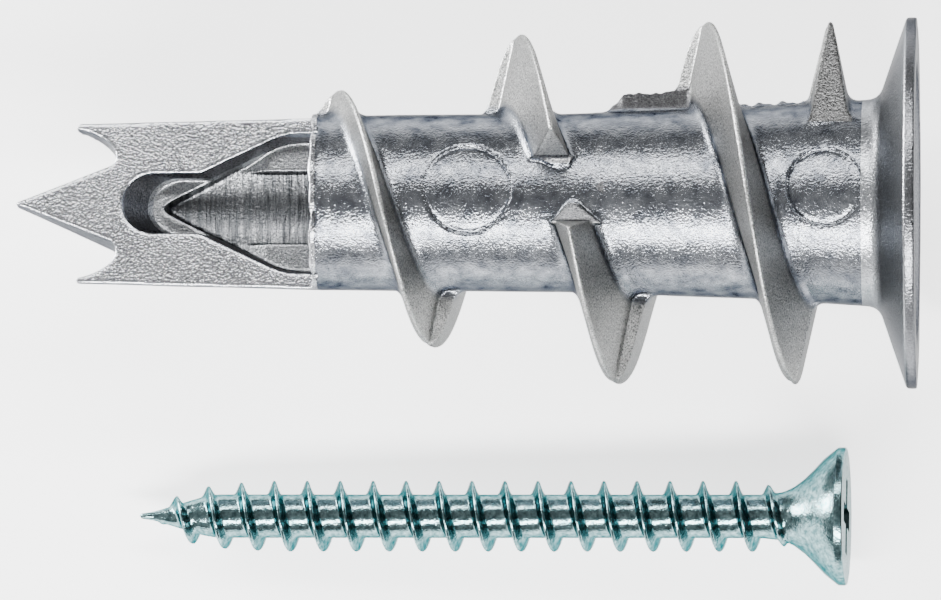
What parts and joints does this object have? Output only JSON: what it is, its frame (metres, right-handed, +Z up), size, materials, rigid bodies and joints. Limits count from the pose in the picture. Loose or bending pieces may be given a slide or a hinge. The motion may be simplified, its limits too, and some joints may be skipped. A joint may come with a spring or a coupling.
{
  "type": "wall anchor",
  "caption": "Self-drilling zinc wall anchor for plasterboard: pronged drilling blade, coarse thread and dished flange, with its countersunk screw lying beside it.",
  "frame": {"origin": "centre of the anchor flange's outer face, on the bore's axis", "axes": "+X out of the wall along the anchor's axis, +Z up from the flat face of the blade, with the screw lying at -Y"},
  "size_m": [0.038, 0.0233, 0.0156],
  "materials": {
    "die_cast_zinc": "bare die-cast zinc alloy, as cast: silvery, mottled and slightly rough",
    "plated_steel": "bright zinc plating with a cool blue-green passivation"
  },
  "bodies": {
    "anchor": {"anchor_casting": "die_cast_zinc"},
    "screw": {"countersunk_screw": "plated_steel"}
  },
  "joints": [
    {"name": "screw_turn", "type": "hinge", "parent": "anchor", "child": "screw", "pos_m": [-0.00304, -0.01256, -0.0049], "axis": [0.9986, -0.0087, 0.0518], "continuous": true}
  ]
}
